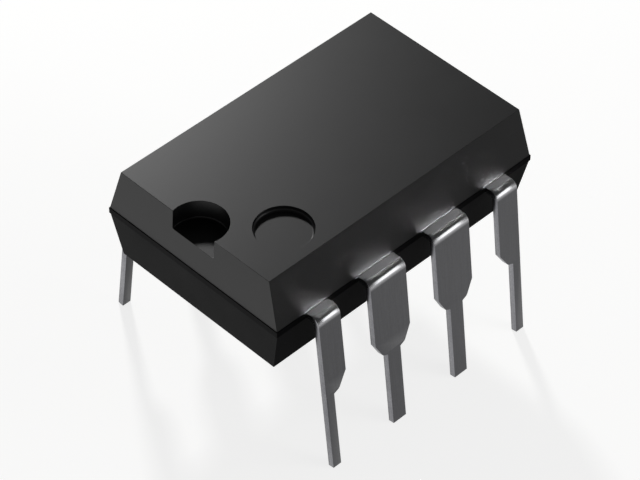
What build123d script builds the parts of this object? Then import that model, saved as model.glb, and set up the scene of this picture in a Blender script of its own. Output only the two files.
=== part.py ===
from build123d import *
import os
from math import atan2, cos, degrees, hypot, radians, sin

# Eight-lead dual-in-line timer chip, in millimetres.
# X runs along the body with the notch at -X, Y across the two rows of leads, Z up.
# The origin is midway between the rows and the ends, on the plane that the lead tips stand on.

# Package layout
PINS_PER_ROW = 4
PITCH = 2.54

# Moulded body, measured over the belt at the parting plane
BODY_END_MARGIN = 1.235
BODY_WIDTH = 6.78
UPPER_HEIGHT = 1.56
LOWER_HEIGHT = 1.52
BELT_PROUD = 0.02
TOP_END_INSET = 0.135
TOP_SIDE_INSET = 0.44
BOTTOM_END_INSET = 0.18
BOTTOM_SIDE_INSET = 0.32

# Notch in the end that pin 1 and pin 8 share
NOTCH_RADIUS = 0.855
NOTCH_DEPTH = 0.635
NOTCH_CENTRE_INSET = 0.20

# Round mark beside pin 1
MARK_RADIUS = 0.862
MARK_DEPTH = 0.16
MARK_END_INSET = 1.71
MARK_SIDE_INSET = 1.20

# Ejector marks in the underside
EJECTOR_RADIUS = 0.80
EJECTOR_DEPTH = 0.06
EJECTOR_END_INSET = 1.65

# Lead frame strip and the leads outside the body
FRAME_THICKNESS = 0.20
LEAD_REACH = 0.47
LEAD_LENGTH = 5.49
LEAD_SPLAY = 7.1
BEND_INNER_RADIUS = 0.06
SHOULDER_WIDTH = 1.38
SHOULDER_LENGTH = 2.28
TAPER_WIDTH = 0.88
TAPER_LENGTH = 0.49
STEP_LENGTH = 0.08
NECK_WIDTH = 0.51
END_LEAD_OUTER = 0.137
END_SHOULDER_INNER = 0.68
END_TAPER_INNER = 0.38
END_NECK_INNER = 0.17

# Lead frame inside the body
ANCHOR_DEPTH = 0.90
LOCK_NOTCH_INSET = 0.30
LOCK_NOTCH_LENGTH = 0.30
LOCK_NOTCH_DEPTH = 0.17
FINGER_WIDTH = 0.60
FINGER_GAP = 0.30
PADDLE_LENGTH = 3.50
PADDLE_WIDTH = 2.10
PADDLE_DOWNSET = 0.25
TIE_BAR_WIDTH = 0.50
TIE_BAR_FLAT = 0.15
TIE_BAR_COVER = 0.40

# Silicon die and the film that holds it
DIE_LENGTH = 1.65
DIE_WIDTH = 1.40
DIE_THICKNESS = 0.28
ATTACH_THICKNESS = 0.03
ATTACH_MARGIN = 0.06

# Bond wires
WIRE_SIDES = 8
WIRE_RADIUS = 0.0165
BALL_SIDES = 12
BALL_RADIUS = 0.045
BALL_HEIGHT = 0.022
LOOP_HEIGHT = 0.20
LOOP_RADIUS = 0.08
STITCH_LENGTH = 0.10
STITCH_FLAT = 0.006
STITCH_INSET = 0.28
PAD_INSET = 0.10
SIDE_PAD_SPACING = 0.80
END_PAD_SPACING = 0.50

# Heights, counted up from the plane of the lead tips
LEAD_TOP = LEAD_LENGTH * cos(radians(LEAD_SPLAY)) + FRAME_THICKNESS * sin(radians(LEAD_SPLAY))
LEAD_BOTTOM = LEAD_TOP - FRAME_THICKNESS
BODY_TOP = LEAD_TOP + UPPER_HEIGHT
BODY_BOTTOM = LEAD_BOTTOM - LOWER_HEIGHT
PADDLE_TOP = LEAD_TOP - PADDLE_DOWNSET
DIE_BOTTOM = PADDLE_TOP + ATTACH_THICKNESS
DIE_TOP = DIE_BOTTOM + DIE_THICKNESS

# Half extents and places in plan
HALF_LENGTH = (PINS_PER_ROW - 1) * PITCH / 2 + BODY_END_MARGIN
HALF_WIDTH = BODY_WIDTH / 2
TOP_HALF_LENGTH = HALF_LENGTH - TOP_END_INSET
TOP_HALF_WIDTH = HALF_WIDTH - TOP_SIDE_INSET
LEAD_CORNER = HALF_WIDTH + LEAD_REACH
ANCHOR_END = HALF_WIDTH - ANCHOR_DEPTH
SIDE_LEAD_X = PITCH / 2
END_LEAD_X = (PINS_PER_ROW - 1) * PITCH / 2
SIDE_TIP_Y = PADDLE_WIDTH / 2 + FINGER_GAP
END_TIP_X = PADDLE_LENGTH / 2 + FINGER_GAP
END_TIP_Y = TIE_BAR_WIDTH / 2 + FINGER_GAP


def drafted_profile(half_belt, top_inset, bottom_inset):
    """Outline of the moulding seen square on: two drafted halves with the belt standing proud between them."""
    right = [
        (half_belt - bottom_inset, BODY_BOTTOM),
        (half_belt - BELT_PROUD, LEAD_BOTTOM),
        (half_belt, LEAD_BOTTOM),
        (half_belt, LEAD_TOP),
        (half_belt - BELT_PROUD, LEAD_TOP),
        (half_belt - top_inset, BODY_TOP),
    ]
    left = [(-across, height) for across, height in reversed(right)]
    return make_face(Polyline(*right, *left, close=True))


def body_blank():
    """The moulding without its recesses: the side view's prism and the end view's prism in common."""
    side_view = Plane.XZ * drafted_profile(HALF_LENGTH, TOP_END_INSET, BOTTOM_END_INSET)
    end_view = Plane.YZ * drafted_profile(HALF_WIDTH, TOP_SIDE_INSET, BOTTOM_SIDE_INSET)
    return extrude(side_view, HALF_WIDTH, both=True) & extrude(end_view, HALF_LENGTH, both=True)


def round_recess(x, y, radius, surface, depth):
    """A flat-floored round recess cut down from a surface, or up into it where the depth is negative."""
    return extrude(Pos(x, y, surface - depth) * Circle(radius), depth)


def moulded_body(inserts):
    """The epoxy moulding, with the cavities that everything sealed in it fills exactly."""
    body = body_blank()
    notch_x = -(TOP_HALF_LENGTH - NOTCH_CENTRE_INSET)
    mark_x = -(TOP_HALF_LENGTH - MARK_END_INSET)
    mark_y = -(TOP_HALF_WIDTH - MARK_SIDE_INSET)
    body -= round_recess(notch_x, 0, NOTCH_RADIUS, BODY_TOP, NOTCH_DEPTH)
    body -= round_recess(mark_x, mark_y, MARK_RADIUS, BODY_TOP, MARK_DEPTH)
    for side in (-1, 1):
        ejector_x = side * (HALF_LENGTH - BOTTOM_END_INSET - EJECTOR_END_INSET)
        body -= round_recess(ejector_x, 0, EJECTOR_RADIUS, BODY_BOTTOM, -EJECTOR_DEPTH)
    for insert in inserts:
        body -= insert
    return body


def bent_strip(inner_x, outer_x):
    """The strip that leaves the body, bends down and splays out, between two places along the row."""
    splay = radians(LEAD_SPLAY)
    down_y, down_z = sin(splay), -cos(splay)
    in_y, in_z = -cos(splay), -sin(splay)
    tip_y = LEAD_CORNER + LEAD_LENGTH * down_y
    tip_z = LEAD_TOP + LEAD_LENGTH * down_z
    inner_back = FRAME_THICKNESS * (1 - sin(splay)) / cos(splay)
    outline = make_face(
        Polyline(
            (HALF_WIDTH, LEAD_TOP),
            (LEAD_CORNER, LEAD_TOP),
            (tip_y, tip_z),
            (tip_y + FRAME_THICKNESS * in_y, tip_z + FRAME_THICKNESS * in_z),
            (LEAD_CORNER - inner_back, LEAD_BOTTOM),
            (HALF_WIDTH, LEAD_BOTTOM),
            close=True,
        )
    )
    outer_corner = outline.vertices().sort_by_distance(Vector(LEAD_CORNER, LEAD_TOP))[0]
    outline = fillet(outer_corner, BEND_INNER_RADIUS + FRAME_THICKNESS)
    inner_corner = outline.vertices().sort_by_distance(Vector(LEAD_CORNER - inner_back, LEAD_BOTTOM))[0]
    outline = fillet(inner_corner, BEND_INNER_RADIUS)
    return extrude(Plane.YZ.offset(inner_x) * outline, outer_x - inner_x)


def leg_cut(shoulder, taper, neck, x, direction):
    """The stock stamped away beside the neck, on one side of a leg, cut square to its face."""
    taper_end = SHOULDER_LENGTH + TAPER_LENGTH
    beyond = shoulder + FRAME_THICKNESS
    face = make_face(
        Polyline(
            (direction * shoulder, SHOULDER_LENGTH),
            (direction * taper, taper_end),
            (direction * neck, taper_end + STEP_LENGTH),
            (direction * neck, LEAD_LENGTH + FRAME_THICKNESS),
            (direction * beyond, LEAD_LENGTH + FRAME_THICKNESS),
            (direction * beyond, SHOULDER_LENGTH),
            close=True,
        )
    )
    splay = radians(LEAD_SPLAY)
    leg_plane = Plane(
        origin=(x, LEAD_CORNER, LEAD_TOP),
        x_dir=(1, 0, 0),
        z_dir=(0, cos(splay), sin(splay)),
    )
    return extrude(leg_plane * face, 2 * FRAME_THICKNESS, both=True)


def finger_plate(outline, inner_x, outer_x):
    """The flat part of a lead inside the body, with the side notches that the moulding locks into."""
    plate = extrude(Pos(0, 0, LEAD_BOTTOM) * make_face(Polyline(*outline, close=True)), FRAME_THICKNESS)
    notch_y = HALF_WIDTH - LOCK_NOTCH_INSET - LOCK_NOTCH_LENGTH / 2
    notch = Box(2 * LOCK_NOTCH_DEPTH, LOCK_NOTCH_LENGTH, 2 * FRAME_THICKNESS)
    for edge_x in (inner_x, outer_x):
        plate -= Pos(edge_x, notch_y, LEAD_TOP - FRAME_THICKNESS / 2) * notch
    return plate


def side_lead():
    """A full-shouldered lead of the middle of a row, in the +X +Y quarter."""
    inner = SIDE_LEAD_X - SHOULDER_WIDTH / 2
    outer = SIDE_LEAD_X + SHOULDER_WIDTH / 2
    finger_inner = SIDE_LEAD_X - FINGER_WIDTH / 2
    finger_outer = SIDE_LEAD_X + FINGER_WIDTH / 2
    outline = [
        (inner, HALF_WIDTH),
        (inner, ANCHOR_END),
        (finger_inner, ANCHOR_END),
        (finger_inner, SIDE_TIP_Y),
        (finger_outer, SIDE_TIP_Y),
        (finger_outer, ANCHOR_END),
        (outer, ANCHOR_END),
        (outer, HALF_WIDTH),
    ]
    lead = finger_plate(outline, inner, outer) + bent_strip(inner, outer)
    for direction in (-1, 1):
        lead -= leg_cut(SHOULDER_WIDTH / 2, TAPER_WIDTH / 2, NECK_WIDTH / 2, SIDE_LEAD_X, direction)
    return lead


def end_lead():
    """A half-shouldered lead at the end of a row, in the +X +Y quarter."""
    inner = END_LEAD_X - END_SHOULDER_INNER
    outer = END_LEAD_X + END_LEAD_OUTER
    outline = [
        (inner, HALF_WIDTH),
        (inner, ANCHOR_END),
        (END_TIP_X, END_TIP_Y + FINGER_WIDTH),
        (END_TIP_X, END_TIP_Y),
        (END_TIP_X + FINGER_WIDTH, END_TIP_Y),
        (outer, ANCHOR_END),
        (outer, HALF_WIDTH),
    ]
    lead = finger_plate(outline, inner, outer) + bent_strip(inner, outer)
    return lead - leg_cut(END_SHOULDER_INNER, END_TAPER_INNER, END_NECK_INNER, END_LEAD_X, -1)


def die_paddle():
    """The downset plate under the die, hung from a tie bar at each end that stays inside the moulding."""
    plate = Pos(0, 0, PADDLE_TOP - FRAME_THICKNESS / 2) * Box(PADDLE_LENGTH, PADDLE_WIDTH, FRAME_THICKNESS)
    flat_end = PADDLE_LENGTH / 2 + TIE_BAR_FLAT
    top_line = Polyline(
        (PADDLE_LENGTH / 2, PADDLE_TOP),
        (flat_end, PADDLE_TOP),
        (flat_end + PADDLE_DOWNSET, LEAD_TOP),
        (HALF_LENGTH - TIE_BAR_COVER, LEAD_TOP),
    )
    bar_outline = make_face(offset(top_line, FRAME_THICKNESS, side=Side.RIGHT, kind=Kind.INTERSECTION))
    tie_bar = extrude(Plane.XZ * bar_outline, TIE_BAR_WIDTH / 2, both=True)
    return plate + tie_bar + mirror(tie_bar, Plane.YZ)


def die_attach():
    """The film of silver-filled epoxy, squeezed out a little beyond the die."""
    length = DIE_LENGTH + 2 * ATTACH_MARGIN
    width = DIE_WIDTH + 2 * ATTACH_MARGIN
    return Pos(0, 0, PADDLE_TOP + ATTACH_THICKNESS / 2) * Box(length, width, ATTACH_THICKNESS)


def silicon_die():
    """The sawn silicon die."""
    return Pos(0, 0, DIE_BOTTOM + DIE_THICKNESS / 2) * Box(DIE_LENGTH, DIE_WIDTH, DIE_THICKNESS)


def bond_wire(pad, spot):
    """A gold wire from a ball bond on the die to a stitch on a finger, which flattens its underside."""
    span = hypot(spot[0] - pad[0], spot[1] - pad[1])
    along = ((spot[0] - pad[0]) / span, (spot[1] - pad[1]) / span)
    loop_plane = Plane(origin=(pad[0], pad[1], 0), x_dir=(*along, 0), z_dir=(along[1], -along[0], 0))
    stitch_axis = LEAD_TOP + WIRE_RADIUS - STITCH_FLAT
    route = loop_plane * FilletPolyline(
        (0, DIE_TOP + BALL_HEIGHT),
        (0, DIE_TOP + LOOP_HEIGHT),
        (span - STITCH_LENGTH / 2, stitch_axis),
        (span + STITCH_LENGTH / 2, stitch_axis),
        radius=LOOP_RADIUS,
    )
    turn = degrees(atan2(along[1], along[0]))
    section = RegularPolygon(WIRE_RADIUS, WIRE_SIDES, major_radius=False)
    wire = sweep(Pos(pad[0], pad[1], DIE_TOP + BALL_HEIGHT) * Rot(0, 0, turn) * section, path=route)
    below_stitch = Pos(spot[0], spot[1], LEAD_TOP - FRAME_THICKNESS / 2) * Rot(0, 0, turn) * Box(
        3 * STITCH_LENGTH, FRAME_THICKNESS, FRAME_THICKNESS
    )
    ball = extrude(Pos(pad[0], pad[1], DIE_TOP) * RegularPolygon(BALL_RADIUS, BALL_SIDES), BALL_HEIGHT)
    return wire - below_stitch + ball


def in_quarter(shape, x_sign, y_sign):
    """A shape of the +X +Y quarter, mirrored into the quarter with the given signs."""
    if x_sign < 0:
        shape = mirror(shape, Plane.YZ)
    if y_sign < 0:
        shape = mirror(shape, Plane.XZ)
    return shape


# The pins in order, anticlockwise from above: quarter signs, and whether the lead ends its row
PIN_PLACES = {
    1: (-1, -1, True),
    2: (-1, -1, False),
    3: (1, -1, False),
    4: (1, -1, True),
    5: (1, 1, True),
    6: (1, 1, False),
    7: (-1, 1, False),
    8: (-1, 1, True),
}

SIDE_PAD = (SIDE_PAD_SPACING / 2, DIE_WIDTH / 2 - PAD_INSET)
SIDE_SPOT = (SIDE_LEAD_X, SIDE_TIP_Y + STITCH_INSET)
END_PAD = (DIE_LENGTH / 2 - PAD_INSET, END_PAD_SPACING / 2)
END_SPOT = (END_TIP_X + STITCH_INSET, END_TIP_Y + STITCH_INSET)


def timer_chip():
    """Every piece of the chip by name, with the moulding formed round the rest."""
    side, end = side_lead(), end_lead()
    side_wire, end_wire = bond_wire(SIDE_PAD, SIDE_SPOT), bond_wire(END_PAD, END_SPOT)
    pieces = {}
    for pin, (x_sign, y_sign, ends_row) in PIN_PLACES.items():
        pieces[f"lead_{pin}"] = in_quarter(end if ends_row else side, x_sign, y_sign)
        pieces[f"bond_wire_{pin}"] = in_quarter(end_wire if ends_row else side_wire, x_sign, y_sign)
    pieces["die_paddle"] = die_paddle()
    pieces["die_attach"] = die_attach()
    pieces["silicon_die"] = silicon_die()
    pieces["moulded_body"] = moulded_body(list(pieces.values()))
    return pieces


os.makedirs("parts", exist_ok=True)
for name, piece in timer_chip().items():
    export_step(piece, f"parts/{name}.step")
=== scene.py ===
import logging
import math
from dataclasses import dataclass
from enum import Enum
from typing import Callable

import bmesh
import bpy
from mathutils import Matrix, Vector


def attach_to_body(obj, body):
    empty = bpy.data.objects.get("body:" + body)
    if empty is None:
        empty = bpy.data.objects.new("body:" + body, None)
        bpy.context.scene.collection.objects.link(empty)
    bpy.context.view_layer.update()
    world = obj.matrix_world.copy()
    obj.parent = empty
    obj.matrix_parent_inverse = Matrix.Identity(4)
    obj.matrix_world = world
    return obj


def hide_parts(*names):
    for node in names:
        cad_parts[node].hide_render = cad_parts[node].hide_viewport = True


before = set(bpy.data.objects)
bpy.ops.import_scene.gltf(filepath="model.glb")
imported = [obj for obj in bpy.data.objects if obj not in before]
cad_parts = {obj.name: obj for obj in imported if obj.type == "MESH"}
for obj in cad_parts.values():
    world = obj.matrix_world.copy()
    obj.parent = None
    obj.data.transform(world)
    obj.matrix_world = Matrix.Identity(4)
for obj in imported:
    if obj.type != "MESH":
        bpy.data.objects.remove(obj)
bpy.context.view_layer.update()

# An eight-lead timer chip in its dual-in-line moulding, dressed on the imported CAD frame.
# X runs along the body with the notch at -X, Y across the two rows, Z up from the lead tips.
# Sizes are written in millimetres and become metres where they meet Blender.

logging.basicConfig(level=logging.INFO, format="%(message)s")
log = logging.getLogger("timer_chip")

MM = 0.001
# Points nearer than this, in millimetres, are one
DOUBLES = 1e-4
# A factor nearer to 1 than this changes nothing
UNCHANGED = 1e-6
# Edges that turn by more than this, in degrees, are sharp enough to be rounded
SHARP_TURN = 32.0
# Facets across the rounding of a sharp edge
ROUND_STEPS = 2
# Cosine above which a flat face or a straight edge counts as pointing a way
POINTING = 0.9

Setting = object
Socket = bpy.types.NodeSocket
# The low and the high end of a range, or the two ends of a piece along X
Span = tuple[float, float]
Test = Callable[[Vector, Vector], bool]


class Pick(Enum):
    """What kind of mesh element a pick selects."""

    FACES = "FACE"
    EDGES = "EDGE"


class LeadShape(Enum):
    """The two shapes of lead in a row: shouldered on both sides, or on the inner side only."""

    SIDE = "side"
    END = "end"


class Region(Enum):
    """The regions of the moulding that the mould's steel left with a finish of their own. The lower sides
    are also painted darker, as painted shade.
    """

    CROWN = 0
    SIDE = 1
    FOOT_END = 2
    FOOT_SIDE = 3


class LeadFace(Enum):
    """The faces of a lead that differ in finish: both tool sides, the cut edges, and the inner side, which
    is painted darker as painted shade.
    """

    PLATED = 0
    SHEARED = 1
    INNER = 2


class Slot(Enum):
    """The record's material slots that new pieces take their finish from."""

    MOULDING = "moulding"
    LEAD_FRAME = "lead_frame"


def metres(x: float, y: float, z: float) -> Vector:
    """A point or move given in millimetres, in metres."""
    return Vector((x, y, z)) * MM


def linear(code: str) -> tuple[float, float, float, float]:
    """The linear colour that a shader takes for an sRGB hex value.

    Args:
        code: six hex digits, such as "1A1A1C".

    Returns:
        Red, green and blue in linear light, and an alpha of 1.
    """
    parts = [int(code[place : place + 2], 16) / 255 for place in (0, 2, 4)]
    red, green, blue = (p / 12.92 if p <= 0.04045 else ((p + 0.055) / 1.055) ** 2.4 for p in parts)
    return red, green, blue, 1.0


def per_metre(size: float) -> float:
    """The texture scale that draws a pattern at a real size in millimetres."""
    return 1 / (size * MM)


def add_node(
    tree: bpy.types.NodeTree,
    kind: str,
    settings: dict[str | int, Setting] | None = None,
    links: dict[str | int, Socket] | None = None,
) -> bpy.types.Node:
    """Adds a shader node with its settings and links.

    Args:
        tree: the node tree that it goes into.
        kind: the node's type name.
        settings: values by the name of a property, or by the name or place of an input.
        links: the output that feeds each linked input, by the input's name or place.

    Returns:
        The new node.
    """
    node = tree.nodes.new(kind)
    for name, value in (settings or {}).items():
        if isinstance(name, int) or name in node.inputs:
            node.inputs[name].default_value = value
        else:
            setattr(node, name, value)
    for name, source in (links or {}).items():
        tree.links.new(source, node.inputs[name])
    return node


def empty_material(name: str) -> bpy.types.Material:
    """Starts a material.

    Args:
        name: the material's name.

    Returns:
        The material, with no nodes yet.
    """
    material = bpy.data.materials.new(name)
    material.use_nodes = True
    material.node_tree.nodes.clear()
    return material


def add_noise(
    tree: bpy.types.NodeTree, place: Socket, scale: float, detail: float, roughness: float
) -> Socket:
    """Adds a noise pattern.

    Args:
        tree: the node tree that it goes into.
        place: the coordinates that it is drawn in.
        scale: how many of its clouds lie along one unit of them.
        detail: how many finer layers it has.
        roughness: how strong each finer layer is against the one before.

    Returns:
        The pattern's value.
    """
    settings = {"Scale": scale, "Detail": detail, "Roughness": roughness}
    return add_node(tree, "ShaderNodeTexNoise", settings, {"Vector": place}).outputs["Fac"]


def add_range(
    tree: bpy.types.NodeTree, value: Socket, old: Span, new: Span, eased: bool = False
) -> Socket:
    """Adds a change of a value from one range to another, held at the new range's ends.

    Args:
        tree: the node tree that it goes into.
        value: the value.
        old: the low and high end of its range now.
        new: what they become.
        eased: whether it sets off and arrives gently, and not straight.

    Returns:
        The new value.
    """
    kind = "SMOOTHSTEP" if eased else "LINEAR"
    settings = {"interpolation_type": kind, 1: old[0], 2: old[1], 3: new[0], 4: new[1]}
    return add_node(tree, "ShaderNodeMapRange", settings, {0: value}).outputs[0]


def add_math(tree: bpy.types.NodeTree, operation: str, first: Socket, second: Socket | float) -> Socket:
    """Adds a sum on two values.

    Args:
        tree: the node tree that it goes into.
        operation: what is done with them.
        first: the first value.
        second: the second value, or a number in its place.

    Returns:
        The result.
    """
    if isinstance(second, float):
        return add_node(tree, "ShaderNodeMath", {"operation": operation, 1: second}, {0: first}).outputs[0]
    return add_node(tree, "ShaderNodeMath", {"operation": operation}, {0: first, 1: second}).outputs[0]


def add_tones(tree: bpy.types.NodeTree, share: Socket, low: str | Socket, high: str) -> Socket:
    """Adds a blend of two colours.

    Args:
        tree: the node tree that it goes into.
        share: how much of the second colour shows.
        low: the first colour, as sRGB hex or from another node.
        high: the second colour, as sRGB hex.

    Returns:
        The blended colour.
    """
    # A mix node's colours are its inputs 6 and 7, and its blended colour is output 2
    settings, links = {"data_type": "RGBA", 7: linear(high)}, {0: share}
    if isinstance(low, str):
        settings[6] = linear(low)
    else:
        links[6] = low
    return add_node(tree, "ShaderNodeMix", settings, links).outputs[2]


def add_surface(
    tree: bpy.types.NodeTree,
    settings: dict[str | int, Setting],
    colour: Socket,
    roughness: Socket,
    height: Socket,
    relief: float,
) -> None:
    """Ends a material with its shader, over a relief too fine for the mesh.

    Args:
        tree: the node tree that it goes into.
        settings: the shader's constants.
        colour: its base colour.
        roughness: its roughness.
        height: the relief's pattern.
        relief: the height of the relief in millimetres.
    """
    bump = add_node(tree, "ShaderNodeBump", {"Strength": 1.0, "Distance": relief * MM}, {"Height": height})
    links = {"Base Color": colour, "Roughness": roughness, "Normal": bump.outputs["Normal"]}
    shader = add_node(tree, "ShaderNodeBsdfPrincipled", settings, links)
    add_node(tree, "ShaderNodeOutputMaterial", links={"Surface": shader.outputs["BSDF"]})


def clear_selection() -> None:
    """Leaves edit mode and selects nothing, because every operator acts on all that is selected."""
    if bpy.context.mode != "OBJECT":
        bpy.ops.object.mode_set(mode="OBJECT")
    bpy.ops.object.select_all(action="DESELECT")


def work_on(piece: bpy.types.Object) -> None:
    """Makes a piece the only selected and active object.

    Args:
        piece: the object to work on.
    """
    clear_selection()
    piece.select_set(True)
    bpy.context.view_layer.objects.active = piece


def start_box(name: str, low: Vector, high: Vector) -> bpy.types.Object:
    """Adds a box between two corners and opens it in edit mode with nothing picked.

    Args:
        name: the piece's name.
        low: its lowest corner, in metres.
        high: its highest corner, in metres.

    Returns:
        The new object.
    """
    clear_selection()
    bpy.ops.mesh.primitive_cube_add(size=1, location=(low + high) / 2, scale=high - low)
    bpy.ops.object.transform_apply(location=True, rotation=True, scale=True)
    piece = bpy.context.object
    piece.name = piece.data.name = name
    bpy.ops.object.mode_set(mode="EDIT")
    bpy.ops.mesh.select_all(action="DESELECT")
    return piece


def pick(piece: bpy.types.Object, kind: Pick, wanted: Test) -> None:
    """Picks, in edit mode, the faces or edges that pass a test and nothing else.

    Args:
        piece: the object in edit mode.
        kind: faces or edges.
        wanted: takes an element's middle and a face's normal or an edge's direction.
    """
    bpy.ops.mesh.select_mode(type=kind.value)
    bpy.ops.mesh.select_all(action="DESELECT")
    mesh = bmesh.from_edit_mesh(piece.data)
    if kind is Pick.FACES:
        found = [(face, face.calc_center_median(), face.normal) for face in mesh.faces]
    else:
        ends = [(edge, edge.verts[0].co, edge.verts[1].co) for edge in mesh.edges]
        found = [(edge, (a + b) / 2, (b - a).normalized()) for edge, a, b in ends]
    for element, middle, direction in found:
        if wanted(middle, direction):
            element.select_set(True)
    mesh.select_flush_mode()
    bmesh.update_edit_mesh(piece.data)


def extrude(move: Vector) -> None:
    """Extrudes the picked face by a move in metres and leaves the new face picked."""
    bpy.ops.mesh.extrude_region_move(TRANSFORM_OT_translate={"value": move})


def resize(factors: tuple[float, float, float], about: Vector) -> None:
    """Scales what is picked about a point."""
    bpy.ops.transform.resize(value=factors, center_override=about)


def round_picked(width: float, steps: int, clamp: bool = False) -> None:
    """Rounds the picked edges.

    Args:
        width: the width of the rounding in millimetres.
        steps: how many facets it has.
        clamp: whether it stops where two roundings meet.
    """
    bpy.ops.mesh.bevel(
        offset=width * MM,
        offset_type="OFFSET",
        segments=steps,
        affect="EDGES",
        clamp_overlap=clamp,
    )


def apply_modifier(piece: bpy.types.Object, kind: str, **settings: Setting) -> None:
    """Adds a modifier with its settings and applies it.

    Args:
        piece: the object to change.
        kind: the modifier's type.
        **settings: its properties.
    """
    work_on(piece)
    modifier = piece.modifiers.new(kind.title(), kind)
    for name, value in settings.items():
        setattr(modifier, name, value)
    bpy.ops.object.modifier_apply(modifier=modifier.name)


def finish_piece(piece: bpy.types.Object, round_over: float, smooth: float) -> None:
    """Rounds the sharp edges that are left, shades the piece and points its faces outwards.

    Args:
        piece: the object to finish.
        round_over: the width of the rounding in millimetres.
        smooth: the angle in degrees under which neighbouring faces are shaded as one.
    """
    apply_modifier(
        piece,
        "BEVEL",
        width=round_over * MM,
        segments=ROUND_STEPS,
        limit_method="ANGLE",
        angle_limit=math.radians(SHARP_TURN),
        use_clamp_overlap=True,
    )
    bpy.ops.object.mode_set(mode="EDIT")
    bpy.ops.mesh.select_all(action="SELECT")
    bpy.ops.mesh.remove_doubles(threshold=DOUBLES * MM)
    bpy.ops.mesh.normals_make_consistent(inside=False)
    bpy.ops.object.mode_set(mode="OBJECT")
    shade_piece(piece, smooth)


def shade_piece(piece: bpy.types.Object, smooth: float) -> None:
    """Shades a piece smooth, with its large faces kept flat.

    Args:
        piece: the object to shade.
        smooth: the angle in degrees under which neighbouring faces are shaded as one.
    """
    work_on(piece)
    bpy.ops.object.shade_smooth_by_angle(angle=math.radians(smooth))
    apply_modifier(piece, "WEIGHTED_NORMAL", mode="FACE_AREA", weight=100, keep_sharp=True)


def paint_faces(
    piece: bpy.types.Object,
    finishes: dict[Enum, bpy.types.Material],
    where: Callable[[Vector, Vector], Enum],
) -> None:
    """Gives each face of a piece the finish of the region that it lies in.

    Args:
        piece: the object to paint.
        finishes: the finish of each region.
        where: takes a face's middle and normal, and says its region.
    """
    piece.data.materials.clear()
    for material in finishes.values():
        piece.data.materials.append(material)
    regions = list(finishes)
    for face in piece.data.polygons:
        face.material_index = regions.index(where(face.center, face.normal))


@dataclass(frozen=True)
class MouldedEpoxy:
    """Black filled epoxy moulding compound, as it leaves a spark-eroded steel mould.

    The filler and the mould give it a satin face: near black where nothing is mirrored, with a
    broad soft sheen towards the light and a grain as fine as flour.
    """

    name: str = "epoxy_moulded_satin_black"
    deep: str = "0B0B0C"
    worn: str = "111112"
    ior: float = 1.50
    specular: float = 0.36
    roughness_low: float = 0.37
    roughness_high: float = 0.39
    # The mould's spark texture is about 0.02 mm and is drawn at 0.05 mm, the finest that shows
    grain: float = 0.05
    grain_height: float = 0.0002
    # Filler gathers in clouds of about a millimetre
    cloud: float = 1.3
    # What the grain and the clouds, multiplied, span where the roughness changes
    patchy: Span = (0.1, 0.4)

    def material(self) -> bpy.types.Material:
        """Builds the material.

        Returns:
            The finished material.
        """
        material = empty_material(self.name)
        tree = material.node_tree
        place = add_node(tree, "ShaderNodeTexCoord").outputs["Object"]
        cloud = add_noise(tree, place, per_metre(self.cloud), detail=4.0, roughness=0.6)
        grain = add_noise(tree, place, per_metre(self.grain), detail=2.0, roughness=0.55)
        colour = add_tones(tree, cloud, self.deep, self.worn)
        both = add_math(tree, "MULTIPLY", cloud, grain)
        roughness = add_range(tree, both, self.patchy, (self.roughness_low, self.roughness_high))
        constants = {"IOR": self.ior, "Metallic": 0.0, "Specular IOR Level": self.specular}
        add_surface(tree, constants, colour, roughness, grain, self.grain_height)
        return material


@dataclass(frozen=True)
class MattTinPlate:
    """Matt tin electroplated on stamped copper alloy strip, dulled by handling.

    It is a dark even grey with a broad sheen, faint lines along the strip from rolling, and the
    crystals of the plating as a fine mottle. Over the flat top and the bend it is painted paler, a painted
    highlight that also brightens the light the tops throw on the moulding.
    """

    name: str = "tin_matt_plated_strip"
    dull: str = "4B4B4D"
    bright: str = "525254"
    painted_highlight_tone: str = "B0B0B2"
    # Heights between which the strip turns from the leg into the bend. Over them its tone grows paler as a
    # painted highlight, and its roughness falls
    bend_low: float = 5.20
    bend_high: float = 5.38
    roughness_low: float = 0.29
    roughness_high: float = 0.34
    roughness_bend: float = 0.20
    # Rolling lines lie about 0.01 mm apart and are drawn at 0.025 mm, so that they show
    line: float = 0.025
    line_length: float = 1.2
    line_height: float = 0.00003
    # Plating crystals are a few microns across and are drawn as clusters of 0.06 mm
    crystal: float = 0.06
    # What the lines and the crystals, averaged, span where the tone changes
    mottled: Span = (0.35, 0.65)

    def material(self) -> bpy.types.Material:
        """Builds the material.

        Returns:
            The finished material.
        """
        material = empty_material(self.name)
        tree = material.node_tree
        place = add_node(tree, "ShaderNodeTexCoord").outputs["Object"]
        along = per_metre(self.line_length)
        drawn = add_node(
            tree, "ShaderNodeMapping", {"Scale": (per_metre(self.line), along, along)}, {"Vector": place}
        )
        lines = add_noise(tree, drawn.outputs["Vector"], 1.0, detail=2.0, roughness=0.5)
        crystals = add_noise(tree, place, per_metre(self.crystal), detail=3.0, roughness=0.6)
        mottle = add_math(tree, "MULTIPLY", add_math(tree, "ADD", lines, crystals), 0.5)
        spread = add_range(tree, mottle, self.mottled, (0.0, 1.0))
        height = add_node(tree, "ShaderNodeSeparateXYZ", links={"Vector": place}).outputs["Z"]
        turned = (self.bend_low * MM, self.bend_high * MM)
        bend = add_range(tree, height, turned, (0.0, 1.0), eased=True)
        # The flat top and the bend take the paler tone: a painted highlight
        colour = add_tones(tree, bend, add_tones(tree, spread, self.dull, self.bright), self.painted_highlight_tone)
        plated = add_range(tree, spread, (0.0, 1.0), (self.roughness_high, self.roughness_low))
        # A mix node's plain values are its inputs 2 and 3
        bend_roughness = add_node(tree, "ShaderNodeMix", {3: self.roughness_bend}, {0: bend, 2: plated})
        add_surface(tree, {"Metallic": 1.0}, colour, bend_roughness.outputs[0], mottle, self.line_height)
        return material


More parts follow.
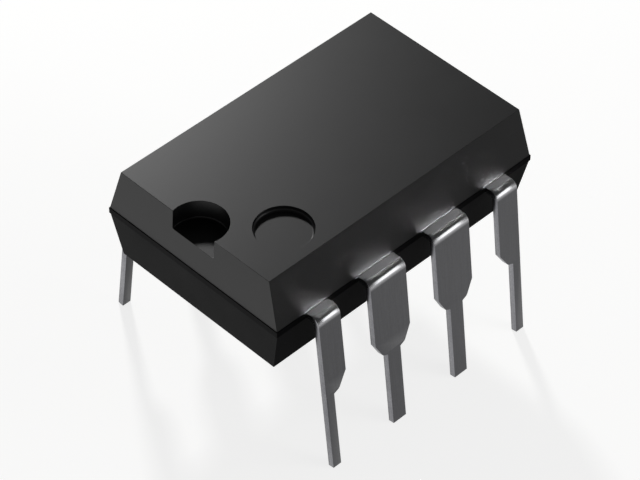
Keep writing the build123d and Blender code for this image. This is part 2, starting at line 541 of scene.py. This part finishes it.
@dataclass(frozen=True)
class SealedFinish:
    """A finish of a piece that is sealed in the moulding.

    It is one tone mottled into another, over a fine relief.
    The strip and the paddle are rolled copper alloy, warm and satin. The die is polished silicon, blue-grey
    and nearly a mirror. The attach film is silver-filled epoxy, a dull sparkling grey. The wires are gold.
    """

    name: str
    low: str
    high: str
    metallic: float
    roughness: float
    # How far the roughness strays either way
    spread: float
    # Size of the mottle across the piece, and the height of the relief, in millimetres
    pattern: float
    relief: float
    # How many times longer than wide the mottle is
    stretch: float = 1.0
    # What the mottle spans where the roughness changes
    mottled: Span = (0.3, 0.7)

    def material(self) -> bpy.types.Material:
        """Builds the material.

        Returns:
            The finished material.
        """
        material = empty_material(self.name)
        tree = material.node_tree
        place = add_node(tree, "ShaderNodeTexCoord").outputs["Object"]
        fine = per_metre(self.pattern)
        drawn = add_node(
            tree, "ShaderNodeMapping", {"Scale": (fine / self.stretch, fine, fine)}, {"Vector": place}
        )
        mottle = add_noise(tree, drawn.outputs["Vector"], 1.0, detail=3.0, roughness=0.55)
        colour = add_tones(tree, mottle, self.low, self.high)
        either_way = (self.roughness - self.spread, self.roughness + self.spread)
        roughness = add_range(tree, mottle, self.mottled, either_way)
        add_surface(tree, {"Metallic": self.metallic}, colour, roughness, mottle, self.relief)
        return material


@dataclass(frozen=True)
class SealedParts:
    """The CAD nodes inside the moulding, which keep their solids and get their real finishes."""

    paddle: SealedFinish = SealedFinish(
        "copper_alloy_rolled_strip",
        "B07A58",
        "C99470",
        metallic=1.0,
        roughness=0.34,
        spread=0.05,
        pattern=0.03,
        relief=0.0004,
        stretch=20.0,
    )
    attach: SealedFinish = SealedFinish(
        "silver_filled_epoxy_cured",
        "8F8F8B",
        "B9B9B4",
        metallic=0.3,
        roughness=0.55,
        spread=0.08,
        pattern=0.02,
        relief=0.001,
    )
    silicon: SealedFinish = SealedFinish(
        "silicon_polished_passivated",
        "2F3740",
        "46505C",
        metallic=0.6,
        roughness=0.14,
        spread=0.04,
        pattern=0.08,
        relief=0.0001,
    )
    gold: SealedFinish = SealedFinish(
        "gold_drawn_wire",
        "D9A441",
        "EDC065",
        metallic=1.0,
        roughness=0.22,
        spread=0.04,
        pattern=0.01,
        relief=0.0002,
    )

    def dress(self) -> int:
        """Assigns each finish to the nodes that carry it.

        Returns:
            How many nodes were dressed.
        """
        wires = [f"bond_wire_{pin}" for pin in PINS]
        finishes = [
            (self.paddle, ["die_paddle"]),
            (self.attach, ["die_attach"]),
            (self.silicon, ["silicon_die"]),
            (self.gold, wires),
        ]
        for finish, names in finishes:
            material = finish.material()
            for name in names:
                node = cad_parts[name]
                if not node.material_slots:
                    node.data.materials.append(material)
                for slot in node.material_slots:
                    slot.material = material
        return sum(len(names) for _, names in finishes)


@dataclass(frozen=True)
class Recess:
    """A flat-floored round recess in the moulding, with a small radius round its floor."""

    x: float
    y: float
    radius: float
    surface: float
    depth: float
    corner: float = 0.05
    facets: int = 112
    corner_steps: int = 4
    # How far the cutter stands out over the surface
    clearance: float = 0.5

    def cut_from(self, piece: bpy.types.Object) -> None:
        """Cuts the recess into a piece, upwards where its depth is negative.

        Args:
            piece: the object to cut.
        """
        way = math.copysign(1, self.depth)
        floor = self.surface - self.depth
        beyond = self.surface + way * self.clearance
        clear_selection()
        bpy.ops.mesh.primitive_cylinder_add(
            vertices=self.facets,
            radius=self.radius * MM,
            depth=abs(beyond - floor) * MM,
            location=metres(self.x, self.y, (beyond + floor) / 2),
        )
        bpy.ops.object.transform_apply(location=True, rotation=True, scale=True)
        cutter = bpy.context.object
        bpy.ops.object.mode_set(mode="EDIT")
        pick(cutter, Pick.EDGES, lambda middle, _: abs(middle.z - floor * MM) < DOUBLES * MM)
        round_picked(self.corner, self.corner_steps)
        bpy.ops.object.mode_set(mode="OBJECT")
        apply_modifier(piece, "BOOLEAN", operation="DIFFERENCE", solver="EXACT", object=cutter)
        bpy.data.objects.remove(cutter)


@dataclass(frozen=True)
class Moulding:
    """The epoxy body: two drafted halves that meet at a belt standing a little proud of them."""

    length: float = 10.09
    width: float = 6.78
    belt_low: float = 5.2726
    belt_high: float = 5.4726
    top: float = 7.0326
    bottom: float = 3.7526
    belt_proud: float = 0.02
    top_end_inset: float = 0.135
    top_side_inset: float = 0.44
    bottom_end_inset: float = 0.18
    bottom_side_inset: float = 0.32
    notch_radius: float = 0.855
    notch_depth: float = 0.635
    notch_inset: float = 0.20
    mark_radius: float = 0.862
    mark_depth: float = 0.16
    mark_end_inset: float = 1.71
    mark_side_inset: float = 1.20
    mark_corner: float = 0.08
    ejector_radius: float = 0.80
    ejector_depth: float = 0.06
    ejector_inset: float = 1.65
    ejector_corner: float = 0.015
    edge_round: float = 0.009
    edge_steps: int = 3
    fine_round: float = 0.006
    # Angle in degrees under which neighbouring faces are shaded as one
    smooth: float = 28.0
    # Cosines above which an edge counts as a corner between two walls, and a face as a side wall
    corner_rise: float = 0.5
    side_facing: float = 0.8

    def recesses(self) -> list[Recess]:
        """The notch, the round mark beside pin 1 and the ejector marks underneath.

        Returns:
            Each recess with its place.
        """
        top_end = self.length / 2 - self.top_end_inset
        top_side = self.width / 2 - self.top_side_inset
        ejector_x = self.length / 2 - self.bottom_end_inset - self.ejector_inset
        notch = Recess(-(top_end - self.notch_inset), 0, self.notch_radius, self.top, self.notch_depth)
        mark = Recess(
            -(top_end - self.mark_end_inset),
            -(top_side - self.mark_side_inset),
            self.mark_radius,
            self.top,
            self.mark_depth,
            self.mark_corner,
        )
        ejectors = [
            Recess(x, 0, self.ejector_radius, self.bottom, -self.ejector_depth, self.ejector_corner)
            for x in (-ejector_x, ejector_x)
        ]
        return [notch, mark, *ejectors]

    def raise_half(
        self, piece: bpy.types.Object, height: float, end_inset: float, side_inset: float
    ) -> None:
        """Draws one drafted half out of the belt, leaving the belt's edge as a ledge.

        Args:
            piece: the box that is the belt, in edit mode.
            height: how far the half rises from the belt, downwards where negative.
            end_inset: how far its far end is drawn in at each end, from the belt.
            side_inset: how far its far end is drawn in at each side, from the belt.
        """
        way = math.copysign(1, height)
        pick(piece, Pick.FACES, lambda _, normal: normal.z * way > POINTING)
        bpy.ops.mesh.inset(thickness=self.belt_proud * MM, depth=0)
        extrude(metres(0, 0, height))
        start_length = self.length / 2 - self.belt_proud
        start_width = self.width / 2 - self.belt_proud
        factors = (
            (self.length / 2 - end_inset) / start_length,
            (self.width / 2 - side_inset) / start_width,
            1,
        )
        resize(factors, metres(0, 0, 0))

    def is_main_edge(self, middle: Vector, direction: Vector) -> bool:
        """Whether an edge is one that the mould's steel rounds.

        Args:
            middle: the edge's middle.
            direction: its direction.

        Returns:
            True round the top and the bottom, and at the corners between the drafted walls.
        """
        near = DOUBLES * MM
        on_face = min(abs(middle.z - self.top * MM), abs(middle.z - self.bottom * MM)) < near
        in_half = not self.belt_low * MM - near < middle.z < self.belt_high * MM + near
        return on_face or (in_half and abs(direction.z) > self.corner_rise)

    def build(self) -> bpy.types.Object:
        """Models the moulding.

        Returns:
            The finished object.
        """
        low = metres(-self.length / 2, -self.width / 2, self.belt_low)
        high = metres(self.length / 2, self.width / 2, self.belt_high)
        piece = start_box("moulding", low, high)
        self.raise_half(piece, self.top - self.belt_high, self.top_end_inset, self.top_side_inset)
        self.raise_half(piece, self.bottom - self.belt_low, self.bottom_end_inset, self.bottom_side_inset)
        pick(piece, Pick.EDGES, self.is_main_edge)
        round_picked(self.edge_round, self.edge_steps, clamp=True)
        bpy.ops.object.mode_set(mode="OBJECT")
        for recess in self.recesses():
            recess.cut_from(piece)
        finish_piece(piece, self.fine_round, self.smooth)
        return piece

    def region(self, middle: Vector, normal: Vector) -> Region:
        """The region that a face of the moulding belongs to.

        Args:
            middle: the face's middle.
            normal: its normal.

        Returns:
            The region, parted at the belt's upper edge and between the sides and the rest.
        """
        outside = (self.width / 2 - self.top_side_inset) * MM
        beside = abs(normal.y) > self.side_facing and abs(middle.y) > outside
        if middle.z > (self.belt_high + self.fine_round) * MM:
            return Region.SIDE if beside else Region.CROWN
        return Region.FOOT_SIDE if beside else Region.FOOT_END

    def dress(self, piece: bpy.types.Object, finishes: dict[Region, bpy.types.Material]) -> None:
        """Gives the moulding its finishes and its place in the frame.

        Args:
            piece: the moulding.
            finishes: the finish of each region.
        """
        paint_faces(piece, finishes, self.region)
        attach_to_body(piece, "root")
        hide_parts("moulded_body")


@dataclass(frozen=True)
class Leads:
    """The eight stamped, plated and bent leads, with the anchors and fingers inside the body."""

    pitch: float = 2.54
    thickness: float = 0.20
    top: float = 5.4726
    wall: float = 3.39
    reach: float = 0.47
    length: float = 5.49
    splay: float = 7.1
    inner_radius: float = 0.06
    shoulder_length: float = 2.28
    taper_length: float = 0.49
    step_length: float = 0.08
    bend_steps: int = 14
    anchor_depth: float = 0.90
    lock_inset: float = 0.30
    lock_length: float = 0.30
    lock_depth: float = 0.17
    edge_round: float = 0.012
    taper_round: float = 0.05
    taper_steps: int = 3
    # How far in height from the taper's end an edge is still taken for one of its corners
    taper_reach: float = 0.1
    # Angle in degrees under which neighbouring faces are shaded as one
    smooth: float = 35.0
    # Cosine above which a face counts as turned to a side
    side_facing: float = 0.6
    # In the +X +Y quarter, left and right of the pin's line at the shoulder, the taper's end and the neck
    side_widths: tuple[Span, ...] = ((0.69, 0.69), (0.44, 0.44), (0.255, 0.255))
    end_widths: tuple[Span, ...] = ((0.68, 0.137), (0.38, 0.137), (0.17, 0.137))
    # Each next end of the finger in that quarter: its two sides in X, and how far out in Y it lies
    side_finger: tuple[tuple[float, float, float], ...] = ((0.97, 1.57, 2.49), (0.97, 1.57, 1.35))
    end_finger: tuple[tuple[float, float, float], ...] = ((2.05, 3.051, 1.15), (2.05, 2.65, 0.55))

    def centre(self, shape: LeadShape) -> float:
        """The pin line's distance from the middle of the row, in millimetres."""
        return self.pitch / 2 if shape is LeadShape.SIDE else 1.5 * self.pitch

    def section(self, span: Span, new: Span) -> None:
        """Changes the picked face's two ends along X from one span to another.

        Args:
            span: where its ends are, in millimetres.
            new: where they go.
        """
        factor = (new[1] - new[0]) / (span[1] - span[0])
        if abs(factor - 1) > UNCHANGED:
            fixed = (new[0] - factor * span[0]) / (1 - factor)
            resize((factor, 1, 1), metres(fixed, 0, 0))
        else:
            bpy.ops.transform.translate(value=metres(new[0] - span[0], 0, 0))

    def draw_out(self, spans: list[tuple[Span, Vector]], start: Span) -> None:
        """Extrudes the picked face through a run of spans along X.

        Args:
            spans: each next span in millimetres, and the move to it.
            start: the span that the face has now.
        """
        now = start
        for new, move in spans:
            extrude(move)
            if new != now:
                self.section(now, new)
            now = new

    def build(self, shape: LeadShape) -> bpy.types.Object:
        """Models one lead of the +X +Y quarter.

        Args:
            shape: which of the two shapes.

        Returns:
            The finished object.
        """
        x = self.centre(shape)
        widths = self.side_widths if shape is LeadShape.SIDE else self.end_widths
        shoulder, taper, neck = ((x - left, x + right) for left, right in widths)
        turn = math.radians(90 - self.splay)
        outer_radius = self.inner_radius + self.thickness
        set_back = outer_radius * math.tan(turn / 2)
        bend_y = self.wall + self.reach - set_back
        low = metres(shoulder[0], self.wall, self.top - self.thickness)
        high = metres(shoulder[1], bend_y, self.top)
        piece = start_box(f"lead_{shape.value}", low, high)
        pick(piece, Pick.FACES, lambda _, normal: normal.y > POINTING)
        bpy.ops.mesh.spin(
            steps=self.bend_steps,
            angle=turn,
            center=metres(0, bend_y, self.top - outer_radius),
            axis=(1, 0, 0),
        )
        splay = math.radians(self.splay)
        down = metres(0, math.sin(splay), -math.cos(splay))
        neck_run = self.length - self.shoulder_length - self.taper_length - self.step_length
        leg = [
            (shoulder, down * (self.shoulder_length - set_back)),
            (taper, down * self.taper_length),
            (neck, down * self.step_length),
            (neck, down * neck_run),
        ]
        self.draw_out(leg, shoulder)
        self.draw_finger(piece, shape, shoulder)
        self.ease_taper(piece, taper)
        bpy.ops.object.mode_set(mode="OBJECT")
        finish_piece(piece, self.edge_round, self.smooth)
        return piece

    def draw_finger(self, piece: bpy.types.Object, shape: LeadShape, shoulder: Span) -> None:
        """Draws the anchor with its lock notches, and then the finger, in from the wall.

        Args:
            piece: the lead, in edit mode.
            shape: which of the two shapes.
            shoulder: the span of the strip at the wall.
        """
        fingers = self.side_finger if shape is LeadShape.SIDE else self.end_finger
        locked = (shoulder[0] + self.lock_depth, shoulder[1] - self.lock_depth)
        rest = self.anchor_depth - self.lock_inset - self.lock_length
        still = metres(0, 0, 0)
        inward = [
            (shoulder, metres(0, -self.lock_inset, 0)),
            (locked, still),
            (locked, metres(0, -self.lock_length, 0)),
            (shoulder, still),
            (shoulder, metres(0, -rest, 0)),
        ]
        reached = self.wall - self.anchor_depth
        for near, far, y in fingers:
            inward.append(((near, far), metres(0, y - reached, 0)))
            reached = y
        pick(piece, Pick.FACES, self.is_at_wall)
        self.draw_out(inward, shoulder)

    def is_at_wall(self, middle: Vector, normal: Vector) -> bool:
        """Whether a face closes the strip at the wall, facing into the body."""
        return normal.y < -POINTING and abs(middle.y - self.wall * MM) < DOUBLES * MM

    def ease_taper(self, piece: bpy.types.Object, taper: Span) -> None:
        """Rounds the corners where the punch turned from the taper to the step.

        Args:
            piece: the lead, in edit mode.
            taper: the span at the taper's end.
        """
        down = math.cos(math.radians(self.splay))
        level = (self.top - (self.shoulder_length + self.taper_length) * down) * MM
        reach = self.taper_reach * MM

        def is_corner(middle: Vector, direction: Vector) -> bool:
            """Whether an edge runs through the strip at one of the taper's two corners."""
            aside = min(abs(middle.x - side * MM) for side in taper)
            return abs(direction.y) > POINTING and abs(middle.z - level) < reach and aside < DOUBLES * MM

        pick(piece, Pick.EDGES, is_corner)
        round_picked(self.taper_round, self.taper_steps)

    def place(self, model: bpy.types.Object, pin: int, flip_x: bool, flip_y: bool) -> bpy.types.Object:
        """Copies a lead with a mesh of its own into the quarter that a pin stands in.

        Args:
            model: the lead modelled in the +X +Y quarter.
            pin: the pin's number.
            flip_x: whether the pin is on the notch's half of the row.
            flip_y: whether it is in the row of pin 1.

        Returns:
            The copy.
        """
        work_on(model)
        bpy.ops.object.duplicate(linked=False)
        piece = bpy.context.object
        piece.name = piece.data.name = f"plated_lead_{pin}"
        piece.scale = (-1 if flip_x else 1, -1 if flip_y else 1, 1)
        bpy.ops.object.transform_apply(location=False, rotation=False, scale=True)
        bpy.ops.object.mode_set(mode="EDIT")
        bpy.ops.mesh.select_all(action="SELECT")
        bpy.ops.mesh.normals_make_consistent(inside=False)
        bpy.ops.object.mode_set(mode="OBJECT")
        bpy.ops.mesh.customdata_custom_splitnormals_clear()
        shade_piece(piece, self.smooth)
        return piece

    def lead_face(self, middle: Vector, normal: Vector) -> LeadFace:
        """Which of the lead's faces a polygon lies on.

        Args:
            middle: the polygon's middle.
            normal: its normal.

        Returns:
            A side that the punch cut, the leg's side towards the other row, or the rest.
        """
        if abs(normal.x) > self.side_facing:
            return LeadFace.SHEARED
        turned_in = normal.y * math.copysign(1, middle.y) < -self.side_facing
        return LeadFace.INNER if turned_in else LeadFace.PLATED

    def dress(
        self, piece: bpy.types.Object, pin: int, finishes: dict[LeadFace, bpy.types.Material]
    ) -> None:
        """Gives a lead its finishes and its place in the frame.

        Args:
            piece: the lead.
            pin: its number.
            finishes: the finish of each of its faces.
        """
        paint_faces(piece, finishes, self.lead_face)
        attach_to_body(piece, "root")
        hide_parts(f"lead_{pin}")


@dataclass(frozen=True)
class Softbox:
    """A softbox aimed at the chip, its width level with the rows.

    Its azimuth counts from +X towards +Y, and its beam is the full angle that its grid lets out.
    """

    name: str
    azimuth: float
    elevation: float
    distance: float
    width: float
    height: float
    beam: float
    power: float
    aim: tuple[float, float, float]

    def place(self) -> bpy.types.Object:
        """Sets the softbox up.

        Returns:
            The lamp.
        """
        turn, rise = math.radians(self.azimuth), math.radians(self.elevation)
        way = Vector((math.cos(rise) * math.cos(turn), math.cos(rise) * math.sin(turn), math.sin(rise)))
        lamp = bpy.data.lights.new(self.name, "AREA")
        lamp.shape, lamp.size, lamp.size_y = "RECTANGLE", self.width * MM, self.height * MM
        lamp.energy, lamp.spread = self.power, math.radians(self.beam)
        box = bpy.data.objects.new(self.name, lamp)
        box.location = metres(*self.aim) + way * self.distance * MM
        across = (Vector((1, 0, 0)) - way * way.x).normalized()
        box.rotation_euler = Matrix((across, way.cross(across), way)).transposed().to_euler()
        bpy.context.scene.collection.objects.link(box)
        return box


@dataclass(frozen=True)
class Studio:
    """The pale floor, the soft lights and the long-lens camera."""

    floor_size: float = 900.0
    floor_colour: str = "AAAAA8"
    floor_roughness: float = 0.9
    floor_specular: float = 0.1
    # Strength with which the floor shows to the camera, and in what mirrors it
    floor_glow: float = 0.80
    floor_glow_colour: str = "FFFFFF"
    sky_colour: str = "FFFFFF"
    horizon_strength: float = 0.50
    zenith_strength: float = 0.06
    # Height of the direction, out of 1, at which the pale walls have given way to the dim ceiling
    ceiling_height: float = 0.60
    camera_azimuth: float = -45.114
    camera_elevation: float = 44.696
    camera_roll: float = 0.709
    camera_distance: float = 83.497
    camera_aim: tuple[float, float, float] = (-0.5038, -0.4530, 3.7887)
    lens: float = 164.507
    sensor: float = 36.0
    clip: Span = (1.0, 5000.0)
    # Where the lights in front of pin 1's row stand
    front_azimuth: float = -57.4
    # Middle along X, and width, of the strip at each of leads 1 to 4, and its power for each millimetre
    root_strips: tuple[tuple[float, float], ...] = (
        (-3.54, 0.70),
        (-1.27, 1.18),
        (1.27, 1.18),
        (3.54, 0.70),
    )
    root_power: float = 0.000080

    def softboxes(self) -> list[Softbox]:
        """The key light behind and to the right, and the low lights in front of pin 1's row.

        A narrow gridded strip at each lead lights its flat top, which throws the light on to the
        moulding. One broad box lights the bends.

        Returns:
            Each softbox, not yet set up.
        """
        key = Softbox(
            "key_softbox",
            azimuth=58.0,
            elevation=31.0,
            distance=90.0,
            width=9.0,
            height=9.0,
            beam=180.0,
            power=0.0345,
            aim=(-0.5, -0.45, 5.5),
        )
        bends = Softbox(
            "bend_softbox",
            azimuth=self.front_azimuth,
            elevation=15.5,
            distance=90.0,
            width=48.0,
            height=50.0,
            beam=180.0,
            power=0.0180,
            aim=(0.0, -3.8, 5.38),
        )
        roots = [
            Softbox(
                f"root_strip_{pin}",
                azimuth=self.front_azimuth,
                elevation=21.0,
                distance=20.0,
                width=width,
                height=0.15,
                beam=0.3,
                power=self.root_power * width,
                aim=(middle, -3.5, 5.455),
            )
            for pin, (middle, width) in enumerate(self.root_strips, start=1)
        ]
        return [key, bends, *roots]

    def floor(self) -> bpy.types.Object:
        """Lays the floor under the lead tips.

        Returns:
            The floor.
        """
        clear_selection()
        bpy.ops.mesh.primitive_plane_add(size=self.floor_size * MM, location=(0, 0, 0))
        floor = bpy.context.object
        floor.name = "paper_floor"
        material = empty_material("paper_matt_white")
        tree = material.node_tree
        rays = add_node(tree, "ShaderNodeLightPath").outputs
        seen = add_math(tree, "MAXIMUM", rays["Is Camera Ray"], rays["Is Glossy Ray"])
        seen_all = add_math(tree, "MAXIMUM", seen, rays["Is Transmission Ray"])
        paper = add_node(
            tree,
            "ShaderNodeBsdfPrincipled",
            {
                "Base Color": linear(self.floor_colour),
                "Roughness": self.floor_roughness,
                "Specular IOR Level": self.floor_specular,
                "Emission Color": linear(self.floor_glow_colour),
            },
            {"Emission Strength": add_math(tree, "MULTIPLY", seen_all, self.floor_glow)},
        )
        add_node(tree, "ShaderNodeOutputMaterial", links={"Surface": paper.outputs["BSDF"]})
        floor.data.materials.append(material)
        return floor

    def sky(self) -> None:
        """Fills the room with weak light, from pale walls up to a dim ceiling."""
        world = bpy.data.worlds.new("studio_room")
        bpy.context.scene.world = world
        world.use_nodes = True
        tree = world.node_tree
        tree.nodes.clear()
        way = add_node(tree, "ShaderNodeTexCoord").outputs["Generated"]
        height = add_node(tree, "ShaderNodeSeparateXYZ", links={"Vector": way}).outputs["Z"]
        walls, strengths = (0.0, self.ceiling_height), (self.horizon_strength, self.zenith_strength)
        strength = add_range(tree, height, walls, strengths, eased=True)
        sky = {"Color": linear(self.sky_colour)}
        room = add_node(tree, "ShaderNodeBackground", sky, {"Strength": strength})
        add_node(tree, "ShaderNodeOutputWorld", links={"Surface": room.outputs["Background"]})

    def camera(self) -> bpy.types.Object:
        """Stands the camera at the photograph's viewing angle.

        Returns:
            The camera.
        """
        turn, rise = math.radians(self.camera_azimuth), math.radians(self.camera_elevation)
        roll = math.radians(self.camera_roll)
        back = Vector((math.sin(turn) * math.cos(rise), -math.cos(turn) * math.cos(rise), math.sin(rise)))
        level = Vector((math.cos(turn), math.sin(turn), 0))
        rising = back.cross(level)
        right = level * math.cos(roll) + rising * math.sin(roll)
        up = back.cross(right)
        data = bpy.data.cameras.new("camera")
        data.lens, data.sensor_width = self.lens, self.sensor
        data.clip_start, data.clip_end = (reach * MM for reach in self.clip)
        camera = bpy.data.objects.new("camera", data)
        turned = Matrix((right, up, back)).transposed()
        place = metres(*self.camera_aim) + back * self.camera_distance * MM
        camera.matrix_world = Matrix.Translation(place) @ turned.to_4x4()
        bpy.context.scene.collection.objects.link(camera)
        bpy.context.scene.camera = camera
        return camera

    def build(self) -> None:
        """Sets up the floor, the lights and the camera."""
        self.floor()
        self.sky()
        for softbox in self.softboxes():
            softbox.place()
        self.camera()
        bpy.context.scene.view_settings.view_transform = "Standard"


# The mould's walls are eroded coarser than its crown, and the lower half coarser than the upper.
# They also mirror more weakly, because a pale floor shows in them where a real room is dark.
MOULDED_FINISHES = {
    Region.CROWN: MouldedEpoxy(),
    Region.SIDE: MouldedEpoxy(
        "epoxy_moulded_side_wall",
        specular=0.13,
        roughness_low=0.44,
        roughness_high=0.46,
    ),
    Region.FOOT_END: MouldedEpoxy(
        "epoxy_moulded_lower_end",
        specular=0.035,
        roughness_low=0.45,
        roughness_high=0.52,
    ),
    # Painted shade: the lower sides take darker tones than the rest of the moulding
    Region.FOOT_SIDE: MouldedEpoxy(
        "epoxy_lower_side_painted_shade",
        deep="050506",
        worn="080809",
        specular=0.006,
        roughness_low=0.45,
        roughness_high=0.52,
    ),
}

# The punch burnishes what it cuts. The inner side is painted darker, as painted shade from under the body
LEAD_FINISHES = {
    LeadFace.PLATED: MattTinPlate(),
    LeadFace.SHEARED: MattTinPlate(
        "tin_burnished_sheared_side", dull="76767A", bright="929296", painted_highlight_tone="929296"
    ),
    LeadFace.INNER: MattTinPlate(
        "tin_inner_side_painted_shade", dull="242426", bright="2A2A2C", painted_highlight_tone="2A2A2C"
    ),
}

# Each pin's quarter, anticlockwise from above: on the notch's half, in pin 1's row, and its shape
PINS = {
    1: (True, True, LeadShape.END),
    2: (True, True, LeadShape.SIDE),
    3: (False, True, LeadShape.SIDE),
    4: (False, True, LeadShape.END),
    5: (False, False, LeadShape.END),
    6: (False, False, LeadShape.SIDE),
    7: (True, False, LeadShape.SIDE),
    8: (True, False, LeadShape.END),
}


def main() -> None:
    """Builds the studio, then each sub-assembly, and reports each piece."""
    Studio().build()
    log.info("studio: floor, lights and camera")
    moulding = Moulding()
    body = moulding.build()
    moulding.dress(body, {region: finish.material() for region, finish in MOULDED_FINISHES.items()})
    log.info("%s: %d faces", body.name, len(body.data.polygons))
    leads = Leads()
    tin = {side: finish.material() for side, finish in LEAD_FINISHES.items()}
    models = {shape: leads.build(shape) for shape in LeadShape}
    for pin, (flip_x, flip_y, shape) in PINS.items():
        lead = leads.place(models[shape], pin, flip_x, flip_y)
        leads.dress(lead, pin, tin)
        log.info("%s: %d faces", lead.name, len(lead.data.polygons))
    for model in models.values():
        bpy.data.objects.remove(model)
    log.info("sealed parts: %d", SealedParts().dress())


if __name__ == "__main__":
    main()
